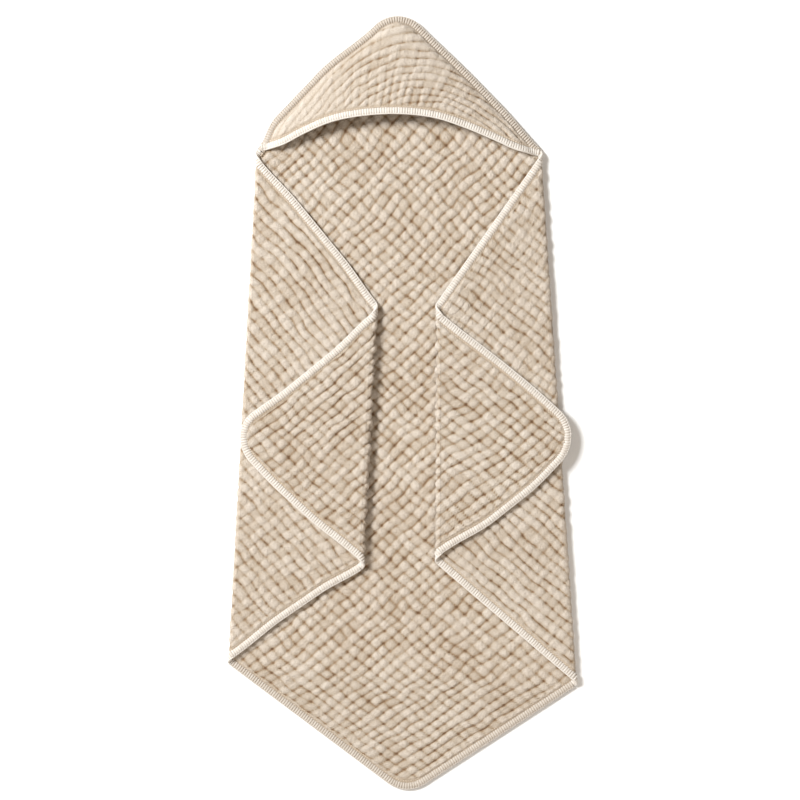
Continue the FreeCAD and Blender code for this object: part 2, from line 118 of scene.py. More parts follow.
def foot_y_at(name):
    """Y at which a fold line crosses the foot line."""
    point, along = LINES[name]
    gap = FOOT_POINT - point
    cross = along[0] * FOOT_ALONG[1] - along[1] * FOOT_ALONG[0]
    return point[1] + along[1] * (gap[0] * FOOT_ALONG[1] - gap[1] * FOOT_ALONG[0]) / cross


# How far the ends of the hem lie past the neck and foot lines, at the outer folds, or past the inner fold's own ends:
# its upper end, then its lower end, of each edge
HEM_SHIFT = {"flat": (0.011, -0.005), "side": (-0.010, 0.008), "side_inner": (0.015, -0.014), "back": (-0.005, 0.002)}


def fold_ends(hand, inset):
    """Y of the ends of a side's four cloth edges on its fold lines, that far inside the hem."""
    low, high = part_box(f"{hand}_inner_fold")
    outer, inner = (NECK_Y, foot_y_at(f"{hand}_outer")), (high.y, low.y)
    ends = {}
    for edge, (top, bottom) in HEM_SHIFT.items():
        upper, lower = outer if edge in ("flat", "side") else inner
        ends[f"{edge}_top"] = upper + top - inset * DIAGONAL
        ends[f"{edge}_bottom"] = lower + bottom + inset * DIAGONAL
    return ends


def fold_out(hand, which):
    """Direction across a fold line, out of its bend."""
    _, along = LINES[f"{hand}_{which}"]
    sign = SIGN[hand] if which == "outer" else -SIGN[hand]
    return np.array([along[1], -along[0]]) * math.copysign(1.0, along[1] * sign)


def side_out(hand, end):
    """Direction out of the upper or lower hem of a folded side."""
    return np.array([-SIGN[hand] * 0.77, 0.64]) if end == "top" else np.array([-SIGN[hand] * 0.57, -0.82])


# --------------------------------------------------------------------------------------------------
# The crinkle of the cloth
# --------------------------------------------------------------------------------------------------
TABLE = 128                 # points along each side of a table of random numbers
WANDER_OVER, JITTER_OVER = 0.090, 0.021     # distances over which the rows wander and the bubbles stray
TIE_SHARPNESS = 2.5
PIT_SPREAD = 0.022


def smooth(t):
    t = np.clip(t, 0.0, 1.0)
    return t * t * (3.0 - 2.0 * t)


def lattice(seed):
    return np.random.default_rng(SEED * 1000 + seed).random((TABLE, TABLE))


def cell(u, v):
    """The table's points round a place, and how far the place is between them."""
    i, j = np.floor(u).astype(int), np.floor(v).astype(int)
    return (i % TABLE, j % TABLE, (i + 1) % TABLE, (j + 1) % TABLE), u - i, v - j


def blended(table, corners, s, t):
    """Value of a table between the four points round a place."""
    i, j, k, m = corners
    return (table[i, j] * (1 - s) + table[k, j] * s) * (1 - t) + (table[i, m] * (1 - s) + table[k, m] * s) * t


def noise(a, b, size, seed):
    """Smooth random value from -1 to 1 that changes over a given distance."""
    corners, s, t = cell(a / size + 57.3, b / size + 41.9)
    return 2.0 * blended(lattice(seed), corners, smooth(s), smooth(t)) - 1.0


def ease(t):
    return smooth((t - 0.5) * 1.9 + 0.5)


def crinkle(a, b, seed, rows, cross):
    """How high the cloth stands, 0 in a tie point to 1 on a bubble, at a point of the flat cloth.

    The threads that tie its layers run along both sides: rows and cross say how deep each set is."""
    c = a + WANDER * noise(a, b, WANDER_OVER, 1) + JITTER * noise(a, b, JITTER_OVER, 2)
    d = b + WANDER * noise(a, b, WANDER_OVER, 3) + JITTER * noise(a, b, JITTER_OVER, 4)
    u, v = c / PITCH, d / PITCH
    corners, s, t = cell(u - 0.5, v - 0.5)
    s, t = ease(s), ease(t)
    i, j, k, m = corners
    line_u, line_v = np.round(u).astype(int), np.round(v).astype(int)
    near_u, near_v = np.abs(u - line_u), np.abs(v - line_v)
    p, q = line_u % TABLE, line_v % TABLE
    puff = blended(lattice(seed), corners, s, t)
    across_tie, along_tie, knot = lattice(11), lattice(12), lattice(13)
    tie_u = cross * (0.52 + 0.48 * (across_tie[p, j] * (1 - t) + across_tie[p, m] * t))
    tie_v = rows * (0.55 + 0.45 * (along_tie[i, q] * (1 - s) + along_tie[k, q] * s))
    shape = (1 - tie_u * (1 - 2 * near_u) ** TIE_SHARPNESS) * (1 - tie_v * (1 - 2 * near_v) ** TIE_SHARPNESS)
    pit = knot[p, q] ** 1.5 * np.exp(-((near_u ** 2 + near_v ** 2) / PIT_SPREAD))
    crumple = 0.06 * noise(c, d, 0.0050, 14) + 0.12 * np.abs(noise(a, b, 0.0080, 15))
    return np.clip((0.62 + 0.46 * puff) * shape - 0.30 * pit - crumple, 0.0, 1.0)


def hem_distance(a, b):
    """How far a point of the flat sheet is inside its edge."""
    reach = SHEET_SIDE / 2
    x, y = np.abs(a - reach) - (reach - CORNER_RADIUS), np.abs(b - reach) - (reach - CORNER_RADIUS)
    outside = np.hypot(np.maximum(x, 0), np.maximum(y, 0))
    return CORNER_RADIUS - (outside + np.minimum(np.maximum(x, y), 0))


def relief(high, open_cloth, fine=0.0):
    """Half thickness of cloth from its crinkle, and the crinkle as the level of its painted crease shade, pressed flat
    where open_cloth is 0, in a hem.
    """
    half = HALF_PRESS + (HALF_PUFF - HALF_PRESS) * high + fine * open_cloth
    return HALF_HEM + (half - HALF_HEM) * open_cloth, HEM_PAINTED_SHADE + (high - HEM_PAINTED_SHADE) * open_cloth


def sheet_relief(flat, side, rows, cross):
    """Half thickness of the sheet towards one of its faces, and its crinkle from 0 to 1."""
    a, b = flat[..., 0], flat[..., 1]
    open_cloth = smooth((hem_distance(a, b) - HEM_PRESSED) / HEM_RISE)
    return relief(crinkle(a, b, 20 + side, rows, cross), open_cloth, 0.00010 * noise(a, b, 0.0034, 31 + side))


# --------------------------------------------------------------------------------------------------
# Outlines
# --------------------------------------------------------------------------------------------------
def belly(t, swing):
    """Sideways swing of an edge that lies in a soft curve: how far, and where it starts and stops."""
    full, rise, fall, end = swing
    return full * smooth(t / rise) * smooth((end - t) / fall)


ROUNDING_SHARE = 0.985      # how much of a corner's half rounding is made, so that two halves don't meet in a point


def corner_side(base, other, tip, inset, swing, count):
    """Edge of a cloth corner from a point of its base to the top of its rounding, straight and swung."""
    tip = tip + ((base + other) / 2 - tip) / np.linalg.norm((base + other) / 2 - tip) * inset * DIAGONAL
    radius = CORNER_RADIUS - inset
    towards, away = base - tip, other - tip
    long = np.linalg.norm(towards)
    towards, away = towards / long, away / np.linalg.norm(away)
    half_angle = math.acos(float(np.clip(towards @ away, -1, 1))) / 2
    tangent = radius / math.tan(half_angle)
    bisector = (towards + away) / np.linalg.norm(towards + away)
    centre = tip + bisector * radius / math.sin(half_angle)
    line = long - tangent
    turn = (math.pi / 2 - half_angle) * ROUNDING_SHARE
    steps = np.linspace(0, line + radius * turn, count)
    first = centre - (tip + towards * tangent)
    outward = -first / np.linalg.norm(first)
    side = np.array([-outward[1], outward[0]])
    side = side if side @ -towards > 0 else -side
    angle = np.clip((steps - line) / radius, 0, None)[:, None]
    on_arc = centre + radius * (outward * np.cos(angle) + side * np.sin(angle))
    on_line_part = base + (tip + towards * tangent - base) * (np.minimum(steps, line) / line)[:, None]
    straight = np.where(steps[:, None] > line, on_arc, on_line_part)
    normal = outward * np.cos(angle) + side * np.sin(angle)
    return straight, straight + normal * belly((steps / steps[-1])[:, None], swing)


# How far each edge swings out (or in) from the straight line between its ends, the shares of its length over which
# it does so at its start and at its end, and where it is straight again
STRAIGHT = (0.0, 0.3, 0.3, 1.0)
SWING = {"hood_left": (0.0120, 0.18, 0.40, 0.90), "hood_right": (0.0030, 0.3, 0.4, 0.9),
         "foot_left": STRAIGHT, "foot_right": STRAIGHT,
         "left_side_top": (0.0040, 0.3, 0.3, 1.0), "left_side_bottom": (-0.0050, 0.4, 0.3, 1.0),
         "right_side_top": STRAIGHT, "right_side_bottom": STRAIGHT,
         "left_back_top": (-0.0050, 0.3, 0.4, 1.0), "left_back_bottom": (0.0050, 0.4, 0.4, 1.0),
         "right_back_top": (0.0030, 0.5, 0.4, 1.0), "right_back_bottom": (0.0095, 0.35, 0.4, 1.0)}
CUT = 0.0020                # the cloth's cut edge inside the outline of the edging


def corner_edges(name, inset, count):
    """A cloth corner's two base points, its two straight edges and its two swung edges, each from base to tip."""
    if name in SIGN:
        ends = fold_ends(name, inset)
        bases = [on_line(f"{name}_inner", ends[end]) for end in ("back_top", "back_bottom")]
        swings = SWING[f"{name}_back_top"], SWING[f"{name}_back_bottom"]
    else:
        end = "flat_top" if name == "hood" else "flat_bottom"
        bases = [on_line(f"{hand}_outer", fold_ends(hand, inset)[end]) for hand in SIGN]
        swings = SWING[f"{name}_left"], SWING[f"{name}_right"]
    edges = [corner_side(base, other, TIPS[name], inset, swing, count)
             for base, other, swing in zip(bases, bases[::-1], swings)]
    return bases, *zip(*edges)


def corner_tip(name, bases):
    """Tip of a cloth corner's cut edge, before its rounding."""
    if name in SIGN:
        to_base = (bases[0] + bases[1]) / 2 - TIPS[name]
        return TIPS[name] + to_base * (CUT * DIAGONAL / np.linalg.norm(to_base))
    return TIPS[name] + np.array([0.0, -1.0 if name == "hood" else 1.0]) * CUT * DIAGONAL


# Where the same ends lie along the edges of the flat sheet, the upper from the hood's corner and the lower from the
# side's own corner
HEM_FLAT = {"left": {"flat": (0.2590, 0.4965), "side": (0.2805, 0.4815),
                     "side_inner": (0.5135, 0.2706), "back": (0.5325, 0.2554)},
            "right": {"flat": (0.2700, 0.5165), "side": (0.2915, 0.5015),
                      "side_inner": (0.5185, 0.2716), "back": (0.5375, 0.2564)}}


def flat_corners(hand):
    """Where the ends of a side's edges lie on the flat square sheet, whose hood corner is its origin."""
    places = {"tip": (SHEET_SIDE, 0.0)}
    for edge, (top, bottom) in HEM_FLAT[hand].items():
        places[f"{edge}_top"] = (top, CUT)
        places[f"{edge}_bottom"] = (SHEET_SIDE - CUT, bottom)
    return {name: np.array(place if hand == "left" else place[::-1]) for name, place in places.items()}


# --------------------------------------------------------------------------------------------------
# The sheet as one grid of rows: left corner, side, middle, side, right corner
# --------------------------------------------------------------------------------------------------
def across(start, finish, count):
    """Rows of points from one column of points to another."""
    t = np.linspace(0, 1, count)[None, :, None]
    return start[:, None, :] * (1 - t) + finish[:, None, :] * t


def between(start, finish, count):
    t = np.linspace(0, 1, count)[:, None]
    return start * (1 - t) + finish * t


def affine(triangle, image, points):
    """Image of points under the flat map that takes one triangle to another."""
    sides = np.stack([triangle[1] - triangle[0], triangle[2] - triangle[0]])
    images = np.stack([image[1] - image[0], image[2] - image[0]])
    return image[0] + (points - triangle[0]) @ np.linalg.inv(sides) @ images


ROWS = 2 + int(0.716 / SAMPLE)
MIDDLE_COLUMNS = 2 + int(0.465 / SAMPLE)
SIDE_COLUMNS, BACK_COLUMNS, BEND_COLUMNS = 96, 78, 9
HOOD_ROWS, FOOT_ROWS = 96, 86


def with_height(plan, z):
    return np.concatenate([plan, np.full(plan.shape[:-1] + (1,), z)], -1)


def layer(plan, z, way, flat):
    """Flat layer of cloth, facing up (1) or down (-1): middle surface, facing and flat places."""
    return with_height(plan, z), np.broadcast_to(UP * way, plan.shape[:-1] + (3,)), flat


BEND_EDGES = {"outer": ("flat", "side"), "inner": ("side_inner", "back")}   # edges that each bend joins, lower first


def round_bend(values, which, end, share):
    """Value at a share of the way round a bend, from those of the two edges that it joins."""
    first, second = (values[f"{edge}_{end}"] for edge in BEND_EDGES[which])
    return first * (1 - share) + second * share


def bend_grid(hand, which, ends, flats):
    """Middle surface, facing and flat places of a fold's bend, from its lower to its upper layer."""
    line, out = f"{hand}_{which}", fold_out(hand, which)
    middle, facing, flat = [], [], []
    for angle in np.linspace(-math.pi / 2, math.pi / 2, BEND_COLUMNS):
        share = angle / math.pi + 0.5
        start, finish = (on_line(line, round_bend(ends, which, end, share)) for end in ("top", "bottom"))
        ray = np.array([out[0] * math.cos(angle), out[1] * math.cos(angle), math.sin(angle)])
        middle.append(with_height(between(start, finish, ROWS), FOLD_Z[which]) + BEND * ray)
        facing.append(np.broadcast_to(-ray if which == "outer" else ray, (ROWS, 3)))
        flat.append(between(*(round_bend(flats, which, end, share) for end in ("top", "bottom")), ROWS))
    return np.stack(middle, 1), np.stack(facing, 1), np.stack(flat, 1)


def side_grids(hand):
    """Bend, side, bend and corner of one hand, each (middle surface, facing, flat place), outwards in order."""
    ends, flats = fold_ends(hand, CUT), flat_corners(hand)
    outer, inner = f"{hand}_outer", f"{hand}_inner"
    grids = {"outer_bend": bend_grid(hand, "outer", ends, flats), "inner_bend": bend_grid(hand, "inner", ends, flats)}

    start = between(on_line(outer, ends["side_top"]), on_line(outer, ends["side_bottom"]), ROWS)
    finish = between(on_line(inner, ends["side_inner_top"]), on_line(inner, ends["side_inner_bottom"]), ROWS)
    plan = across(start, finish, SIDE_COLUMNS)
    u, t = np.linspace(0, 1, SIDE_COLUMNS)[None, :, None], np.linspace(0, 1, ROWS)[:, None, None]
    plan = plan + side_out(hand, "top") * belly(u, SWING[f"{hand}_side_top"]) * (1 - t) ** 2
    plan = plan + side_out(hand, "bottom") * belly(u, SWING[f"{hand}_side_bottom"]) * t ** 2
    flat = across(between(flats["side_top"], flats["side_bottom"], ROWS),
                  between(flats["side_inner_top"], flats["side_inner_bottom"], ROWS), SIDE_COLUMNS)
    grids["side"] = layer(plan, LAYERS[1], -1, flat)

    bases, straight, swung = corner_edges(hand, CUT, BACK_COLUMNS)
    plan, straight = (upper[None] * (1 - t) + lower[None] * t for upper, lower in (swung, straight))
    flat_tip = flats["tip"] + np.array([CUT, -CUT]) * SIGN[hand]
    flat = affine((*bases, corner_tip(hand, bases)), (flats["back_top"], flats["back_bottom"], flat_tip), straight)
    grids["back"] = layer(plan, LAYERS[2], 1, flat)
    return grids


def middle_grids():
    """Hood, centre and foot rows of the sheet's lowest layer, as (plan, flat place)."""
    flats = [flat_corners(hand) for hand in SIGN]
    parts = []
    for name, end, flat_tip, count in (("hood", "flat_top", CUT, HOOD_ROWS),
                                       ("foot", "flat_bottom", SHEET_SIDE - CUT, FOOT_ROWS)):
        bases, straight, swung = corner_edges(name, CUT, count)
        image = (*(flat[end] for flat in flats), np.array([flat_tip, flat_tip]))
        parts.append((across(*swung, MIDDLE_COLUMNS),
                      affine((*bases, corner_tip(name, bases)), image, across(*straight, MIDDLE_COLUMNS)), bases))
    (hood_plan, hood_flat, tops), (foot_plan, foot_flat, bottoms) = parts
    centre = across(*(between(top, bottom, ROWS) for top, bottom in zip(tops, bottoms)), MIDDLE_COLUMNS)
    centre_flat = across(*(between(flat["flat_top"], flat["flat_bottom"], ROWS) for flat in flats), MIDDLE_COLUMNS)
    return (np.concatenate([hood_plan[:0:-1], centre, foot_plan[1:]]),
            np.concatenate([hood_flat[:0:-1], centre_flat, foot_flat[1:]]))


def grid_normals(points, facing):
    """Normals of a grid of points, turned to the side that it faces."""
    down, along = np.gradient(points, axis=0), np.gradient(points, axis=1)
    normal = np.cross(down, along)
    normal /= np.maximum(np.linalg.norm(normal, axis=-1, keepdims=True), 1e-12)
    return normal * np.where((normal * facing).sum(-1, keepdims=True) < 0, -1.0, 1.0)


def beyond(flat, start, finish, corner):
    """How far points of the flat sheet are past a crease, on the side of one of its corners."""
    along = (np.array(finish) - start) / np.linalg.norm(np.array(finish) - start)
    normal = np.array([-along[1], along[0]])
    normal = normal if normal @ (np.array(corner) - start) > 0 else -normal
    return (flat - start) @ normal


# Where the folds lie on the flat sheet: both ends of the outer and the inner one, and the corner beyond them
CREASES = (((0.270, 0.0), (0.8, 0.489), (0.522, 0.0), (0.8, 0.263), (0.8, 0.0)),
           ((0.0, 0.281), (0.509, 0.8), (0.0, 0.527), (0.264, 0.8), (0.0, 0.8)))
CREASE_SOFT = 0.03          # width over which the cloth changes from cells to ridges


def dominance(flat):
    """How deep the ties along and across the rows of bubbles are: ridges on the sides, cells elsewhere."""
    a, b = flat[..., 0], flat[..., 1]
    patch = noise(a, b, 0.11, 51)
    rows, cross = 0.88 + 0.09 * patch, 0.84 - 0.13 * patch
    for outer_start, outer_end, inner_start, inner_end, corner in CREASES:
        side = smooth(beyond(flat, outer_start, outer_end, corner) / CREASE_SOFT + 0.5)
        back = smooth(beyond(flat, inner_start, inner_end, corner) / CREASE_SOFT + 0.5)
        rows += (side - back) * 0.07
        cross += (side - back) * (-0.34 + 0.10 * patch)
    return rows, cross


MEAN_HIGH = 0.45            # crinkle that stays as it is where the cloth is fuller or flatter


def faces_of(middle, facing, flat, fuller):
    """The sheet's right face and wrong face over a grid: points, points, crinkle, crinkle.

    On the outside of a bend the cloth stands fuller between its creases, or is stretched flatter."""
    rows, cross = dominance(flat)
    right_half, right_high = sheet_relief(flat, 0, rows, cross)
    wrong_half, wrong_high = sheet_relief(flat, 1, rows, cross)
    right_half = right_half + fuller[0] * (right_high - MEAN_HIGH)
    wrong_half = wrong_half + fuller[1] * (wrong_high - MEAN_HIGH)
    return (middle + facing * right_half[..., None], middle - facing * wrong_half[..., None], right_high, wrong_high)


# --------------------------------------------------------------------------------------------------
# Meshes
# --------------------------------------------------------------------------------------------------
def new_object(name, mesh, material):
    thing = bpy.data.objects.new(name, mesh)
    bpy.context.scene.collection.objects.link(thing)
    if material is not None:
        mesh.materials.append(material)
    return thing


def mesh_from_faces(name, points, faces):
    """Smooth mesh from an array of points and an array of quads."""
    mesh = bpy.data.meshes.new(name)
    mesh.vertices.add(len(points))
    mesh.vertices.foreach_set("co", np.ascontiguousarray(points, np.float32).ravel())
    mesh.loops.add(faces.size)
    mesh.loops.foreach_set("vertex_index", np.ascontiguousarray(faces, np.int32).ravel())
    mesh.polygons.add(len(faces))
    mesh.polygons.foreach_set("loop_start", np.arange(0, faces.size, 4, dtype=np.int32))
    mesh.update(calc_edges=True)
    mesh.polygons.foreach_set("use_smooth", np.ones(len(faces), bool))
    return mesh


def cloth_mesh(name, front, back, front_normal, back_normal, front_high, back_high, flat):
    """Closed piece of cloth from the grids of its two faces."""
    rows, columns = front.shape[:2]
    size = rows * columns
    index = np.arange(size).reshape(rows, columns)
    quads = np.stack([index[:-1, :-1], index[:-1, 1:], index[1:, 1:], index[1:, :-1]], -1).reshape(-1, 4)
    middle = (rows // 2, columns // 2)
    step_down = front[middle[0] + 1, middle[1]] - front[middle]
    step_along = front[middle[0], middle[1] + 1] - front[middle]
    turned = np.cross(step_along, step_down) @ front_normal[middle] < 0
    rim = np.concatenate([index[0, :], index[1:, -1], index[-1, -2::-1], index[-2:0:-1, 0]])
    after = np.roll(rim, -1)
    wall = np.stack([after, rim, rim + size, after + size], -1)
    if turned:
        quads, wall = quads[:, ::-1], wall[:, ::-1]
    faces = np.concatenate([quads, quads[:, ::-1] + size, wall])
    mesh = mesh_from_faces(name, np.concatenate([front.reshape(-1, 3), back.reshape(-1, 3)]), faces)
    high = np.concatenate([front_high.ravel(), back_high.ravel()]).astype(np.float32)
    # The crinkle is stored as puff, from which the muslin is painted dark in its creases: painted shade.
    mesh.attributes.new("puff", "FLOAT", "POINT").data.foreach_set("value", high)
    place = np.concatenate([flat.reshape(-1, 2)] * 2)
    loops = np.empty(len(mesh.loops), np.int32)
    mesh.loops.foreach_get("vertex_index", loops)
    layer = mesh.uv_layers.new(name="cloth")
    layer.data.foreach_set("uv", place[loops].astype(np.float32).ravel())
    normals = np.concatenate([front_normal.reshape(-1, 3), back_normal.reshape(-1, 3)])
    mesh.normals_split_custom_set_from_vertices(normals.astype(np.float32))
    return mesh


# --------------------------------------------------------------------------------------------------
# Materials
# --------------------------------------------------------------------------------------------------
def shade(red, green, blue):
    """Linear colour from screen values of 0 to 255."""
    return tuple(((c / 255 + 0.055) / 1.055) ** 2.4 if c > 10 else c / 255 / 12.92 for c in (red, green, blue)) + (1.0,)


WHITE = shade(255, 255, 255)


class Shader:
    """Short way to build a node material."""

    def __init__(self, name, roughness, sheen):
        self.material = bpy.data.materials.new(name)
        self.material.use_nodes = True
        self.nodes, self.links = self.material.node_tree.nodes, self.material.node_tree.links
        self.surface = self.nodes["Principled BSDF"]
        self.surface.inputs["Roughness"].default_value = roughness
        self.surface.inputs["Sheen Weight"].default_value = sheen
        self.surface.inputs["Sheen Roughness"].default_value = 0.6
        self.surface.inputs["Specular IOR Level"].default_value = 0.15

    def node(self, kind, values=(), **links):
        node = self.nodes.new(kind)
        for name, value in dict(values).items():
            if name in node.inputs:
                node.inputs[name].default_value = value
            else:
                setattr(node, name, value)
        for name, source in links.items():
            self.links.new(source, node.inputs[name.replace("_", " ")])
        return node

    def ramp(self, source, stops):
        node = self.node("ShaderNodeValToRGB", Fac=source)
        ramp = node.color_ramp
        while len(ramp.elements) < len(stops):
            ramp.elements.new(0.5)
        for element, (place, colour) in zip(ramp.elements, stops):
            element.position, element.color = place, colour
        return node.outputs["Color"]

    def tint(self, colour, source, stops, factor=1.0):
        """A colour multiplied by a ramp over a source."""
        node = self.nodes.new("ShaderNodeMix")
        node.data_type, node.blend_type = "RGBA", "MULTIPLY"
        node.inputs[0].default_value = factor
        self.links.new(colour, node.inputs[6])
        self.links.new(self.ramp(source, stops), node.inputs[7])
        return node.outputs[2]

    def colour(self, source):
        self.links.new(source, self.surface.inputs["Base Color"])

    def bumps(self, *layers):
        """Bump from several heights, each (source, distance in metres, strength)."""
        normal = None
        for source, distance, strength in layers:
            node = self.node("ShaderNodeBump", {"Strength": strength, "Distance": distance}, Height=source)
            if normal is not None:
                self.links.new(normal, node.inputs["Normal"])
            normal = node.outputs["Normal"]
        self.links.new(normal, self.surface.inputs["Normal"])


def muslin_material():
    look = Shader("beige_muslin", 0.92, 0.25)
    cloth = look.node("ShaderNodeUVMap", {"uv_map": "cloth"}).outputs["UV"]
    place = look.node("ShaderNodeTexCoord").outputs["Object"]
    puff = look.node("ShaderNodeAttribute", {"attribute_name": "puff"}).outputs["Fac"]
    # Painted shade: the cloth is coloured dark brown in the creases between bubbles and light on their tops, following
    # the crinkle stored as puff.
    body = look.ramp(puff, ((0.0, shade(116, 84, 54)), (0.15, shade(168, 144, 115)),
                            (0.42, shade(209, 197, 181)), (0.80, shade(229, 221, 211))))
    blotch = look.node("ShaderNodeTexNoise", {"Scale": 9.0, "Detail": 2.0}, Vector=place).outputs["Fac"]
    body = look.tint(body, blotch, ((0.3, shade(246, 243, 240)), (0.7, WHITE)))
    flecks = look.node("ShaderNodeTexNoise", {"Scale": 900.0, "Detail": 2.0, "Roughness": 0.6}, Vector=cloth)
    body = look.tint(body, flecks.outputs["Fac"], ((0.32, shade(226, 218, 210)), (0.62, WHITE)))
    weave = look.node("ShaderNodeMath", {"operation": "MULTIPLY"})
    for socket, direction in zip(weave.inputs, "XY"):
        threads = look.node("ShaderNodeTexWave", {"wave_type": "BANDS", "bands_direction": direction, "Scale": 330.0,
                                                  "Distortion": 1.5, "Detail Scale": 2.0}, Vector=cloth)
        look.links.new(threads.outputs["Fac"], socket)
    body = look.tint(body, weave.outputs[0], ((0.0, shade(205, 190, 170)), (0.5, WHITE)), 0.35)
    look.colour(body)
    crumple = look.node("ShaderNodeTexNoise", {"Scale": 270.0, "Detail": 4.0, "Roughness": 0.65}, Vector=cloth)
    look.bumps((crumple.outputs["Fac"], 0.0034, 0.9), (weave.outputs[0], 0.0003, 0.5))
    return look.material


def yarn_material(name, light, dark, fuzz):
    look = Shader(name, 0.75, 0.3)
    place = look.node("ShaderNodeTexCoord").outputs["Object"]
    # The yarn's stored value holds each wrap's random tone and, on some bands and on the core, painted shade; the ramp
    # runs from dark to light along it.
    tone = look.node("ShaderNodeAttribute", {"attribute_name": "tone"}).outputs["Fac"]
    body = look.ramp(tone, ((0.0, dark), (1.0, light)))
    fibres = look.node("ShaderNodeTexNoise", {"Scale": 1500.0, "Detail": 2.0}, Vector=place).outputs["Fac"]
    body = look.tint(body, fibres, ((0.35, shade(228, 222, 214)), (0.6, WHITE)))
    look.colour(body)
    look.bumps((fibres, fuzz, 0.6))
    return look.material


MUSLIN = muslin_material()
YARN = yarn_material("cream_overlock_yarn", shade(231, 226, 220), shade(176, 162, 146), 0.0004)
THREAD = yarn_material("cream_needle_thread", shade(240, 226, 208), shade(214, 196, 174), 0.0002)

# --------------------------------------------------------------------------------------------------
# The sheet
# --------------------------------------------------------------------------------------------------
def follow(piece, bodies, line):
    """Ride one body, or bend from one body to the next between two places."""
    if line is None:
        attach(piece, bodies)
    else:
        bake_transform(piece, *bodies, *line)


def cloth_piece(name, grid, nodes, bodies, line, room=(False, False)):
    """Piece of cloth over a grid.

    Room says which of its first and last columns stop short of a fold, so that opened layers don't press together."""
    grid = [values.copy() for values in grid]
    for values in grid:
        if room[0]:
            values[:, 0] += (values[:, 1] - values[:, 0]) * FOLD_ROOM
        if room[1]:
            values[:, -1] += (values[:, -2] - values[:, -1]) * FOLD_ROOM
    piece = new_object(name, cloth_mesh(name, *grid), MUSLIN)
    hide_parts(*nodes)
    follow(piece, bodies, line)


def full_grid(middle, facing, flat, fuller):
    """Everything that cloth_mesh takes, over a grid: faces, normals, crinkle and flat places."""
    right, wrong, right_high, wrong_high = faces_of(middle, facing, flat, fuller)
    for face in (right, wrong):
        face[..., 2] = np.maximum(face[..., 2], 0.0)    # pressed flat where it lies on the floor
    return [right, wrong, grid_normals(right, facing), grid_normals(wrong, -facing), right_high, wrong_high, flat]


hands = {hand: side_grids(hand) for hand in SIGN}
plan, flat = middle_grids()
floor_layer = full_grid(*layer(plan, LAYERS[0], 1, flat), (0.0, 0.0))

centre_rows = slice(HOOD_ROWS - 1, HOOD_ROWS - 1 + ROWS)
belt = [("left", part) for part in ("back", "inner_bend", "side", "outer_bend")]
belt += [("centre", "centre")] + [("right", part) for _, part in belt[::-1]]
FULLER_RIGHT = {"inner_bend": 0.0020}       # how much thicker the bubbles' face stands in a bend,
FULLER_WRONG = {"outer_bend": -0.0012}      # or how much flatter it is stretched
columns, joined, at = {}, [[], [], [], [], []], 0
for hand, part in belt:
    if hand == "centre":
        values = layer(plan[centre_rows], LAYERS[0], 1, flat[centre_rows])
    else:
        values = [v[:, ::-1] for v in hands[hand][part]] if hand == "left" else hands[hand][part]
    width = values[0].shape[1]
    arc = np.tile(np.sin(np.linspace(0, math.pi, width)), (ROWS, 1))
    values = [*values, arc * FULLER_RIGHT.get(part, 0.0), arc * FULLER_WRONG.get(part, 0.0)]
    shared = 1 if joined[0] else 0      # the first column is the last one of the part before
    at -= shared
    columns[hand, part] = slice(at, at + width)
    at += width
    for store, value in zip(joined, values):
        store.append(value[:, shared:])
*belt_surface, right_fuller, wrong_fuller = (np.concatenate(store, 1) for store in joined)
belt_grid = full_grid(*belt_surface, (right_fuller, wrong_fuller))
for floor_values, belt_values in zip(floor_layer, belt_grid):
    floor_values[centre_rows] = belt_values[:, columns["centre", "centre"]]

CLEAR = 0.002               # how far past a bending line the cloth is cut and starts to bend
BEND_REACH = 0.040          # width over which the hood and the foot bend
neck_row = int(np.argmax((floor_layer[0][..., 1] < NECK_Y - CLEAR).all(1)))
foot_edge = FOOT_POINT[1] + (floor_layer[0][..., 0] - FOOT_POINT[0]) * FOOT_ALONG[1] / FOOT_ALONG[0]
foot_row = len(plan) - 1 - int(np.argmax((floor_layer[0][..., 1] > foot_edge + CLEAR).all(1)[::-1]))
bands = np.linspace(neck_row, foot_row, 5).astype(int)
for number, (low, high) in enumerate(zip(bands[:-1], bands[1:]), 1):
    cloth_piece(f"centre_cloth_{number}", [values[low:high + 1] for values in floor_layer], ["centre_panel"],
                "centre", None, room=(True, True))

NECK = Vector((0.0, NECK_Y - CLEAR, 0.0)), Vector((0.0, NECK_Y + BEND_REACH, 0.0))
foot_out = Vector((FOOT_ALONG[1], -FOOT_ALONG[0], 0.0)).normalized()
foot_out = foot_out if foot_out.y < 0 else -foot_out
FOOT = [Vector((*FOOT_POINT, 0.0)) + foot_out * reach for reach in (CLEAR, CLEAR + BEND_REACH)]

cloth_piece("hood_back_cloth", [values[:neck_row + 1] for values in floor_layer], ["hood_back_panel"],
            ("centre", "hood"), NECK)
cloth_piece("foot_cloth", [values[foot_row:] for values in floor_layer], ["foot_panel"],
            ("centre", "foot"), FOOT)

FOLDS = {"outer": (Vector((0, 0, 0.0)), Vector((0, 0, 2 * FOLD_Z["outer"]))),
         "inner": (Vector((0, 0, LAYERS[1] - BEND)), Vector((0, 0, LAYERS[2] + BEND)))}
for hand in SIGN:
    part = {name: [values[:, columns[hand, name]] for values in belt_grid]
            for name in ("side", "back", "outer_bend", "inner_bend")}
    cloth_piece(f"{hand}_side_cloth", part["side"], [f"{hand}_side_panel"], f"{hand}_side", None,
                (True, True))
    cloth_piece(f"{hand}_corner_cloth", part["back"], [f"{hand}_corner_panel"], f"{hand}_corner", None,
                (hand == "right", hand == "left"))
    cloth_piece(f"{hand}_outer_bend", part["outer_bend"], [f"{hand}_outer_fold"],
                ("centre", f"{hand}_side"), FOLDS["outer"])
    cloth_piece(f"{hand}_inner_bend", part["inner_bend"], [f"{hand}_inner_fold"],
                (f"{hand}_side", f"{hand}_corner"), FOLDS["inner"])

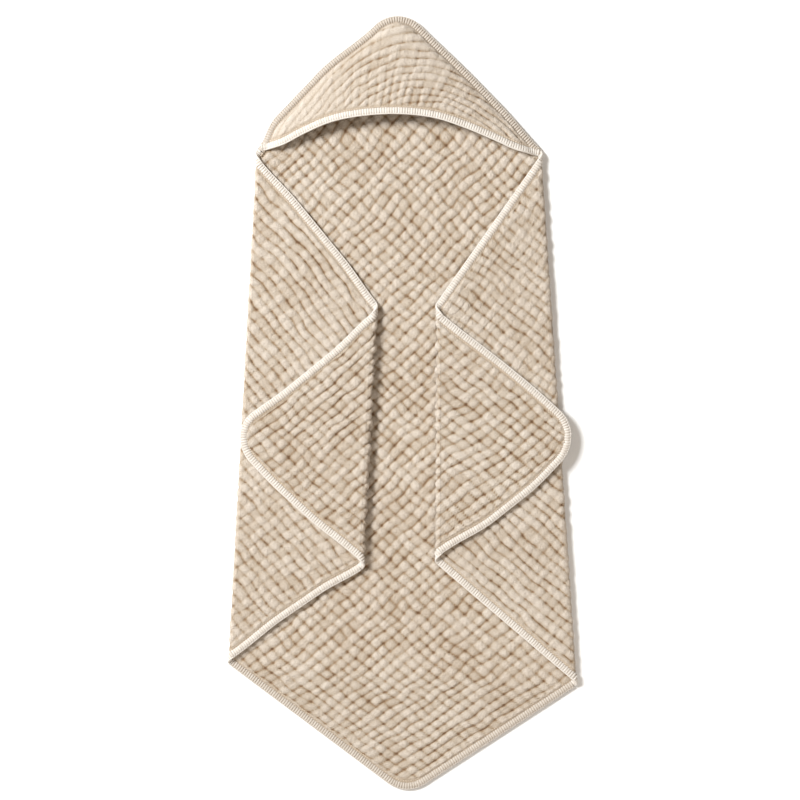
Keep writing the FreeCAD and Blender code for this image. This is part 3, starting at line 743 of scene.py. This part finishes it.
# --------------------------------------------------------------------------------------------------
# The hood's front
# --------------------------------------------------------------------------------------------------
RIM = ((-0.1945, 0.3482), (-0.1800, 0.3506), (-0.1620, 0.3560), (-0.1330, 0.3705), (-0.0970, 0.3850), (-0.0550, 0.3930),
       (-0.0050, 0.3955), (0.0430, 0.3905), (0.0850, 0.3775), (0.1280, 0.3600), (0.1500, 0.3500), (0.1700, 0.3440),
       (0.1880, 0.3410))
FRONT_LIES = 0.0054         # middle of the hood's front above the floor, in the seam
FRONT_LIFT = 0.0042         # how far its bubbles lift it off the back
FRONT_RISE = 0.0205         # and how far the pocket stands open, at the middle of the rim
RIM_TOP, SEAM_TOP = 0.3955, 0.5250  # Y of the rim's highest point and of the top of the hood's seam
HOOD_ENDS = np.array([[-0.202, 0.3444], [0.192, 0.3444]])   # lower ends of its outer seams
ARCH_CENTRE, ARCH_RADIUS = (0.070, 0.290), 0.235    # of the arches that its rows of bubbles bend towards
FAN_CENTRE, FAN_RADIUS = (0.020, 0.200), 0.250      # from which its bubbles fan out along the rows


def through(points, count):
    """Smooth curve through a few points, evenly spaced along its length."""
    points = np.array(points, float)
    padded = np.concatenate([2 * points[:1] - points[1:2], points, 2 * points[-1:] - points[-2:-1]])
    curve = []
    for a, b, c, d in zip(padded, padded[1:], padded[2:], padded[3:]):
        t = np.linspace(0, 1, 40, endpoint=False)[:, None]
        curve.append(0.5 * (2 * b + (c - a) * t + (2 * a - 5 * b + 4 * c - d) * t ** 2
                            + (3 * b - a - 3 * c + d) * t ** 3))
    return even(np.concatenate(curve + [points[-1:]]), count)


def even(points, count):
    """The same polyline with evenly spaced points."""
    steps = np.concatenate([[0], np.cumsum(np.linalg.norm(np.diff(points, axis=0), axis=1))])
    wanted = np.linspace(0, steps[-1], count)
    return np.stack([np.interp(wanted, steps, points[:, k]) for k in range(points.shape[1])], 1)


def hood_outline(inset, count):
    """Hood's hem that far inside the edge, from the left end of the neck to the tip and on to the right end."""
    _, _, (rising, falling) = corner_edges("hood", inset, count)
    return rising, falling[::-1]


SEAM_LEFT, SEAM_RIGHT = hood_outline(0.0085, 200)


def front_height(x, y):
    """Middle of the hood's front above the floor."""
    low = np.interp(y, SEAM_LEFT[:, 1], SEAM_LEFT[:, 0])
    high = np.interp(y, SEAM_RIGHT[::-1, 1], SEAM_RIGHT[::-1, 0])
    half = np.maximum((high - low) / 2, 0.004)
    sideways = np.clip((x - (low + high) / 2) / half, -1, 1)
    inside = np.minimum(x - low, high - x) * 0.72
    rise = FRONT_RISE * np.clip((SEAM_TOP - y) / (SEAM_TOP - RIM_TOP), 0, None)
    rise = rise * (1 + 0.10 * noise(x, y, 0.075, 61))
    return FRONT_LIES + FRONT_LIFT * smooth(inside / 0.012) + rise * (1 - sideways ** 2)


def front_crinkle(x, y, side):
    """Crinkle of the hood's front: its rows follow the outer seams in arches."""
    tip = TIPS["hood"]
    to_left, to_right = (np.abs((x - tip[0]) * seam[1] - (y - tip[1]) * seam[0]) / np.linalg.norm(seam)
                         for seam in HOOD_ENDS - tip)
    soft = 0.120
    near = np.minimum(to_left, to_right) - soft / 4 * np.clip(1 - np.abs(to_left - to_right) / soft, 0, 1) ** 2
    from_middle = ARCH_RADIUS - np.hypot(x - ARCH_CENTRE[0], y - ARCH_CENTRE[1])
    rows = 0.72 * near + 0.74 * from_middle
    cells = np.arctan2(x - FAN_CENTRE[0], y - FAN_CENTRE[1]) * FAN_RADIUS + 0.30 * rows
    chunky = np.exp(-((x - 0.010) ** 2 / 0.0050 + (y - 0.412) ** 2 / 0.0009))
    high = crinkle(cells, rows + 0.3, 24 + side, 0.88, 0.28 + 0.60 * chunky)
    smoother = 0.50 * smooth((-0.040 - x) / 0.10)
    return high + (0.72 - high) * smoother


def rim_inward(count):
    """Points of the hood's rim in plan, and the direction from each into the hood."""
    rim = through(RIM, count)
    tangent = np.gradient(rim, axis=0)
    inward = np.stack([-tangent[:, 1], tangent[:, 0]], 1)
    return rim, inward / np.linalg.norm(inward, axis=1, keepdims=True)


def raised(plan):
    """Points of the hood's front over their place in plan."""
    x, y = plan[..., 0], plan[..., 1]
    return np.stack([x, y, front_height(x, y)], -1)


def hood_front():
    left, right = hood_outline(0.0070, 150)
    outer = even(np.concatenate([left, right[1:]]), 270)
    rim, inward = rim_inward(270)
    inner = rim + inward * 0.004
    plan = across(inner, outer, 64).swapaxes(0, 1)
    middle = raised(plan)
    facing = grid_normals(middle, np.broadcast_to(UP, middle.shape))
    seam = np.linalg.norm(plan - outer[None], axis=-1)
    hem = np.linalg.norm(plan - inner[None], axis=-1)
    open_cloth = smooth((seam - 0.0035) / 0.0045) * smooth((hem - 0.0070) / 0.0040)
    faces, highs = [], []
    for side, way in ((0, facing), (1, -facing)):
        half, high = relief(front_crinkle(plan[..., 0], plan[..., 1], side), open_cloth)
        faces.append(middle + way * half[..., None])
        highs.append(high)
    grid = [*faces, grid_normals(faces[0], facing), grid_normals(faces[1], -facing), *highs, plan]
    cloth_piece("hood_front_cloth", grid, ["hood_front_panel"], ("centre", "hood"), NECK)


hood_front()

# --------------------------------------------------------------------------------------------------
# Overlock yarn and needle thread
# --------------------------------------------------------------------------------------------------
def repeat_tree():
    """Geometry nodes that put one small piece at every point, turned along the edge, each a little different."""
    tree = bpy.data.node_groups.new("repeat_along_edge", "GeometryNodeTree")
    add = tree.interface.new_socket
    add("Geometry", in_out="INPUT", socket_type="NodeSocketGeometry")
    add("Piece", in_out="INPUT", socket_type="NodeSocketObject")
    sizes = {"Length": WRAP_PITCH, "Width": EDGING_WIDTH, "Height": EDGING_HEIGHT, "Unevenness": 0.05}
    for name, value in sizes.items():
        add(name, in_out="INPUT", socket_type="NodeSocketFloat").default_value = value
    add("Seed", in_out="INPUT", socket_type="NodeSocketInt").default_value = SEED
    add("Material", in_out="INPUT", socket_type="NodeSocketMaterial")
    add("Geometry", in_out="OUTPUT", socket_type="NodeSocketGeometry")
    new, link = tree.nodes.new, tree.links.new
    source, result = new("NodeGroupInput"), new("NodeGroupOutput")

    def named(name, kind):
        node = new("GeometryNodeInputNamedAttribute")
        node.data_type = kind
        node.inputs["Name"].default_value = name
        return node.outputs["Attribute"]

    def maths(operation, first, second):
        node = new("ShaderNodeMath")
        node.operation = operation
        link(first, node.inputs[0])
        if isinstance(second, bpy.types.NodeSocket):
            link(second, node.inputs[1])
        else:
            node.inputs[1].default_value = second
        return node.outputs[0]

    def random(low, high, seed):
        node = new("FunctionNodeRandomValue")
        node.data_type = "FLOAT"
        node.inputs[2].default_value, node.inputs[3].default_value = low, high
        link(maths("ADD", source.outputs["Seed"], seed), node.inputs["Seed"])
        return node.outputs[1]

    def uneven(name, seed):
        change = maths("MULTIPLY", random(-1.0, 1.0, seed), source.outputs["Unevenness"])
        return maths("MULTIPLY", maths("ADD", change, 1.0), source.outputs[name])

    turn = new("FunctionNodeAxesToRotation")
    turn.primary_axis, turn.secondary_axis = "X", "Y"
    link(named("along", "FLOAT_VECTOR"), turn.inputs[0])
    link(named("outward", "FLOAT_VECTOR"), turn.inputs[1])
    piece = new("GeometryNodeObjectInfo")
    link(source.outputs["Piece"], piece.inputs["Object"])
    scale = new("ShaderNodeCombineXYZ")
    for k, name in enumerate(("Length", "Width", "Height")):
        link(uneven(name, 10 + k), scale.inputs[k])
    place = new("GeometryNodeInstanceOnPoints")
    link(source.outputs["Geometry"], place.inputs["Points"])
    link(piece.outputs["Geometry"], place.inputs["Instance"])
    link(turn.outputs[0], place.inputs["Rotation"])
    link(scale.outputs[0], place.inputs["Scale"])
    # Each piece gets a random tone of its own; edging_piece later darkens the same attribute for painted shade.
    tone = new("GeometryNodeStoreNamedAttribute")
    tone.data_type, tone.domain = "FLOAT", "INSTANCE"
    tone.inputs["Name"].default_value = "tone"
    link(place.outputs["Instances"], tone.inputs["Geometry"])
    link(random(0.75, 1.0, 20), tone.inputs["Value"])
    real, paint = new("GeometryNodeRealizeInstances"), new("GeometryNodeSetMaterial")
    link(tone.outputs["Geometry"], real.inputs["Geometry"])
    link(real.outputs["Geometry"], paint.inputs["Geometry"])
    link(source.outputs["Material"], paint.inputs["Material"])
    link(paint.outputs["Geometry"], result.inputs["Geometry"])
    return tree


def rounded_bar(name, sections, corners, power):
    """Small closed bar of unit length, width and height, with a rounded back."""
    bars = bmesh.new()
    rings = []
    for place, size in sections:
        ring = []
        for k in range(corners):
            angle = 2 * math.pi * k / corners
            across, high = math.cos(angle), math.sin(angle)
            across = math.copysign(abs(across) ** power, across) / 2 * (0.55 + 0.45 * size)
            high = math.copysign(abs(high) ** power, high) / 2 * size
            ring.append(bars.verts.new((place / 2, across, high)))
        rings.append(ring)
    for first, second in zip(rings, rings[1:]):
        for k in range(corners):
            bars.faces.new((first[k], first[(k + 1) % corners], second[(k + 1) % corners], second[k]))
    bars.faces.new(rings[0][::-1])
    bars.faces.new(rings[-1])
    bmesh.ops.recalc_face_normals(bars, faces=bars.faces)
    mesh = bpy.data.meshes.new(name)
    bars.to_mesh(mesh)
    bars.free()
    for face in mesh.polygons:
        face.use_smooth = True
    return bpy.data.objects.new(name, mesh)


REPEAT = repeat_tree()
WRAP = rounded_bar("one_wrap", ((-1.0, 0.52), (-0.62, 0.88), (0.0, 1.0), (0.62, 0.88), (1.0, 0.52)), 8, 0.7)
STITCH = rounded_bar("one_stitch", ((-1.0, 0.35), (-0.5, 0.9), (0.5, 0.9), (1.0, 0.35)), 6, 1.0)


def frames(points, outward, pitch):
    """Evenly spaced points of an edge with the directions along it and out of it."""
    joined = np.concatenate([points, outward], 1)
    steps = np.concatenate([[0], np.cumsum(np.linalg.norm(np.diff(points, axis=0), axis=1))])
    count = max(2, int(round(steps[-1] / pitch)))
    wanted = (np.arange(count) + 0.5) * steps[-1] / count
    joined = np.stack([np.interp(wanted, steps, joined[:, k]) for k in range(6)], 1)
    near = wanted[:, None] + np.array([-0.0008, 0.0008])
    fine = np.stack([np.interp(near, steps, points[:, k]) for k in range(3)], -1)
    along = fine[:, 1] - fine[:, 0]
    along /= np.linalg.norm(along, axis=1, keepdims=True)
    out = joined[:, 3:] - along * (joined[:, 3:] * along).sum(1, keepdims=True)
    out /= np.linalg.norm(out, axis=1, keepdims=True)
    return joined[:, :3], along, out


def repeated(name, places, piece, length, width, height, uneven, material):
    """Mesh of one small piece repeated along an edge."""
    spots = bpy.data.meshes.new(name + "_spots")
    spots.vertices.add(len(places[0]))
    spots.vertices.foreach_set("co", places[0].astype(np.float32).ravel())
    for label, values in (("along", places[1]), ("outward", places[2])):
        attribute = spots.attributes.new(label, "FLOAT_VECTOR", "POINT")
        attribute.data.foreach_set("vector", values.astype(np.float32).ravel())
    holder = new_object(name + "_spots", spots, None)
    modifier = holder.modifiers.new("repeat", "NODES")
    modifier.node_group = REPEAT
    inputs = {item.name: item.identifier for item in REPEAT.interface.items_tree if item.in_out == "INPUT"}
    for label, value in (("Piece", piece), ("Length", length), ("Width", width), ("Height", height),
                         ("Unevenness", uneven), ("Seed", SEED + len(name)), ("Material", material)):
        modifier[inputs[label]] = value
    depsgraph = bpy.context.evaluated_depsgraph_get()
    mesh = bpy.data.meshes.new_from_object(holder.evaluated_get(depsgraph), preserve_all_data_layers=True,
                                           depsgraph=depsgraph)
    bpy.data.objects.remove(holder)
    bpy.data.meshes.remove(spots)
    return mesh


def tube(points, along, out, width, height, corners, power):
    """Closed tube of a flattened section along a row of frames."""
    normal = np.cross(along, out)
    angles = np.linspace(0, 2 * np.pi, corners, endpoint=False)
    across = np.sign(np.cos(angles)) * np.abs(np.cos(angles)) ** power * width / 2
    high = np.sign(np.sin(angles)) * np.abs(np.sin(angles)) ** power * height / 2
    rings = points[:, None] + out[:, None] * across[None, :, None] + normal[:, None] * high[None, :, None]
    index = np.arange(len(points) * corners).reshape(len(points), corners)
    following = np.roll(index, -1, 1)
    quads = np.stack([index[:-1], following[:-1], following[1:], index[1:]], -1).reshape(-1, 4)
    return rings.reshape(-1, 3), quads, (index[0], index[-1])


def edging_piece(name, runs, node, height, bodies, line=None, close=0.96, pale=1.0, core=0.3):
    """Core, crest and wraps of overlock yarn along some runs of hem, as one piece.

    Close is how much of their pitch the wraps fill; the last two numbers set how light the wraps and the core are
    drawn, which is painted shade: darker wraps on bands that turn away from the light, and a dark core that stands for
    the shade between the wraps."""
    work = bmesh.new()
    for number, (points, outward) in enumerate(runs):
        places = frames(points, outward, WRAP_PITCH)
        wraps = repeated(f"{name}_{number}", places, WRAP, WRAP_PITCH * close, EDGING_WIDTH, height, 0.05, YARN)
        work.from_mesh(wraps)
        bpy.data.meshes.remove(wraps)
        spots, along, out = frames(points, outward, 0.0019)
        spots = np.concatenate([points[:1], spots, points[-1:]])
        along, out = (np.concatenate([v[:1], v, v[-1:]]) for v in (along, out))
        ridge = spots + out * EDGING_WIDTH * 0.44
        # Wraps darkened for painted shade on bands that turn away from the light.
        tone = work.verts.layers.float["tone"]
        for vertex in work.verts:
            vertex[tone] *= pale
        # The core's lightness is painted shade between the wraps; the crest takes the wraps' painted shade.
        for centre, width, high, corners, power, light in ((spots, EDGING_WIDTH * 0.90, height * 0.66, 8, 0.8, core),
                                                           (ridge, 0.0021, height * 0.66, 6, 1.0, pale)):
            vertices, quads, ends = tube(centre, along, out, width, high, corners, power)
            new = [work.verts.new(v) for v in vertices]
            for vertex in new:
                vertex[tone] = light
            made = [work.faces.new([new[k] for k in quad]) for quad in quads]
            made.append(work.faces.new([new[k] for k in ends[0]][::-1]))
            made.append(work.faces.new([new[k] for k in ends[1]]))
            bmesh.ops.recalc_face_normals(work, faces=made)
            for face in made:
                face.smooth = True
    finish_piece(name, work, YARN, node, bodies, line)


def finish_piece(name, work, material, node, bodies, line):
    """Piece out of a bmesh, with the node that it replaces, if any, and the bodies that it follows."""
    mesh = bpy.data.meshes.new(name)
    work.to_mesh(mesh)
    work.free()
    piece = new_object(name, mesh, material)
    if node:
        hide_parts(node)
    follow(piece, bodies, line)


def thread_piece(name, runs, node, bodies, line=None):
    """Needle stitches along the inner edge of the edging."""
    work = bmesh.new()
    for number, (points, outward) in enumerate(runs):
        places = frames(points, outward, WRAP_PITCH)
        row = repeated(f"{name}_{number}", places, STITCH, WRAP_PITCH * 0.74, THREAD_WIDTH, 0.0042, 0.12, THREAD)
        work.from_mesh(row)
        bpy.data.meshes.remove(row)
    finish_piece(name, work, THREAD, node, bodies, line)


def flat_run(plan, z, inward_point):
    """Run of hem in plan, with its outward direction."""
    plan = even(plan, max(8, int(len(plan) * 2)))
    tangent = np.gradient(plan, axis=0)
    normal = np.stack([tangent[:, 1], -tangent[:, 0]], 1)
    normal /= np.linalg.norm(normal, axis=1, keepdims=True)
    middle = len(plan) // 2
    if normal[middle] @ (plan[middle] - inward_point) < 0:
        normal = -normal
    return with_height(plan, z), with_height(normal, 0.0)


def side_run(hand, end, inset):
    """Upper or lower hem of a folded side."""
    ends = fold_ends(hand, inset)
    start = on_line(f"{hand}_outer", ends[f"side_{end}"])
    finish = on_line(f"{hand}_inner", ends[f"side_inner_{end}"])
    t = np.linspace(0, 1, 60)[:, None]
    swung = start + (finish - start) * t + side_out(hand, end) * belly(t, SWING[f"{hand}_side_{end}"])
    return flat_run(swung, LAYERS[1], np.array([0.12 * SIGN[hand], -0.02]))


def corner_run(name, inset, z, count):
    """Hem of a corner of the cloth, from one end over its tip to the other."""
    bases, _, (rising, falling) = corner_edges(name, inset, count)
    return flat_run(np.concatenate([rising, falling[::-1]]), z, (bases[0] + bases[1]) / 2)


def bend_run(hand, which, end, inset):
    """Hem where it goes round the bend of a fold."""
    ends, out = fold_ends(hand, inset), fold_out(hand, which)
    angles = np.linspace(-math.pi / 2, math.pi / 2, 24)
    points = []
    for angle in angles:
        at = on_line(f"{hand}_{which}", round_bend(ends, which, end, angle / math.pi + 0.5))
        points.append((*(at + out * (BEND + 0.0010) * math.cos(angle)), FOLD_Z[which] + BEND * math.sin(angle)))
    outward = np.tile([0.0, 1.0 if end == "top" else -1.0, 0.0], (len(angles), 1))
    return np.array(points), outward


def rim_run(inset):
    """Hem of the hood's arched front edge."""
    rim, inward = rim_inward(240)
    out, points, into = (raised(rim + inward * reach) for reach in (0.0005, inset, 0.0115))
    return points, out - into


MIDDLE, SEAM = EDGING_WIDTH / 2, EDGING_WIDTH + 0.0006
HOOD_HEM_Z = {MIDDLE: 0.0042, SEAM: 0.0052}     # the hood's hem holds two cloths, so it lies higher than the others
HOOD_HEM_HEIGHT = 0.0076


def trimming(name, run, bodies, line=None, height=EDGING_HEIGHT, **tones):
    """Edging and needle thread of one stretch of hem, of which run gives the course at an inset."""
    edging_piece(f"{name}_overlock", [run(MIDDLE)], f"{name}_edging", height, bodies, line, **tones)
    thread_piece(f"{name}_stitches", [run(SEAM)], f"{name}_needle_thread", bodies, line)


# The hood's and the foot's outer bands have darker wraps and a darker core, painted shade for bands that turn down away
# from the light; the rim's core is drawn lighter.
trimming("hood_corner", lambda inset: corner_run("hood", inset, HOOD_HEM_Z[inset], 120), ("centre", "hood"), NECK,
         HOOD_HEM_HEIGHT, close=0.86, pale=0.55, core=0.1)
trimming("foot", lambda inset: corner_run("foot", inset, LAYERS[0], 120), ("centre", "foot"), FOOT,
         close=0.84, pale=0.60, core=0.1)
trimming("hood_rim", rim_run, ("centre", "hood"), NECK, close=1.02, pale=1.0, core=0.75)
for hand in SIGN:
    for end, label in (("top", "upper"), ("bottom", "lower")):
        trimming(f"{hand}_side_{label}", lambda inset: side_run(hand, end, inset), f"{hand}_side")
    trimming(f"{hand}_corner", lambda inset: corner_run(hand, inset, LAYERS[2], 80), f"{hand}_corner")
    for which, bodies in (("outer", ("centre", f"{hand}_side")), ("inner", (f"{hand}_side", f"{hand}_corner"))):
        edging_piece(f"{hand}_{which}_bend_overlock", [bend_run(hand, which, end, MIDDLE) for end in ("top", "bottom")],
                     None, EDGING_HEIGHT, bodies, FOLDS[which])

# --------------------------------------------------------------------------------------------------
# Floor, light and camera
# --------------------------------------------------------------------------------------------------
FLOOR_REACH = 6.0
FLOOR_Z = -0.0002           # a hair below the cloth, so that the two don't share a plane
VIEW_HEIGHT, VIEW_SPAN = 3.0, 1.104     # camera above the floor, and the width of floor that it sees
SENSOR_WIDTH = 36.0         # in millimetres, as the lens


def floor():
    mesh = bpy.data.meshes.new("floor")
    corners = [(FLOOR_REACH * x, FLOOR_REACH * y, FLOOR_Z) for x, y in ((-1, -1), (1, -1), (1, 1), (-1, 1))]
    mesh.from_pydata(corners, [], [(0, 1, 2, 3)])
    look = Shader("pale_floor", 0.85, 0.0)
    look.surface.inputs["Base Color"].default_value = (0.93, 0.93, 0.93, 1.0)
    new_object("floor", mesh, look.material)


def softbox(name, place, size, power, colour):
    """Round area light that points at the origin."""
    light = bpy.data.lights.new(name, "AREA")
    light.shape, light.size, light.energy, light.color = "DISK", size, power, colour
    lamp = bpy.data.objects.new(name, light)
    lamp.location = place
    lamp.rotation_mode = "QUATERNION"
    lamp.rotation_quaternion = (-Vector(place)).to_track_quat("-Z", "Y")
    bpy.context.scene.collection.objects.link(lamp)


floor()
softbox("key_softbox", (-2.9, 1.7, 3.2), 1.5, 318, (0.96, 0.985, 1.0))
softbox("fill_softbox", (1.0, -2.0, 1.8), 1.8, 25, (1.0, 0.95, 0.89))
world = bpy.data.worlds.new("studio")
world.use_nodes = True
background = world.node_tree.nodes["Background"]
background.inputs["Color"].default_value = (1.0, 0.88, 0.75, 1.0)
background.inputs["Strength"].default_value = 0.31
bpy.context.scene.world = world
bpy.context.scene.view_settings.view_transform = "Standard"

camera_data = bpy.data.cameras.new("camera")
camera_data.sensor_width = SENSOR_WIDTH
camera_data.lens = SENSOR_WIDTH * VIEW_HEIGHT / VIEW_SPAN
camera = bpy.data.objects.new("camera", camera_data)
camera.location = (-0.0035, 0.0048, VIEW_HEIGHT)
bpy.context.scene.collection.objects.link(camera)
bpy.context.scene.camera = camera
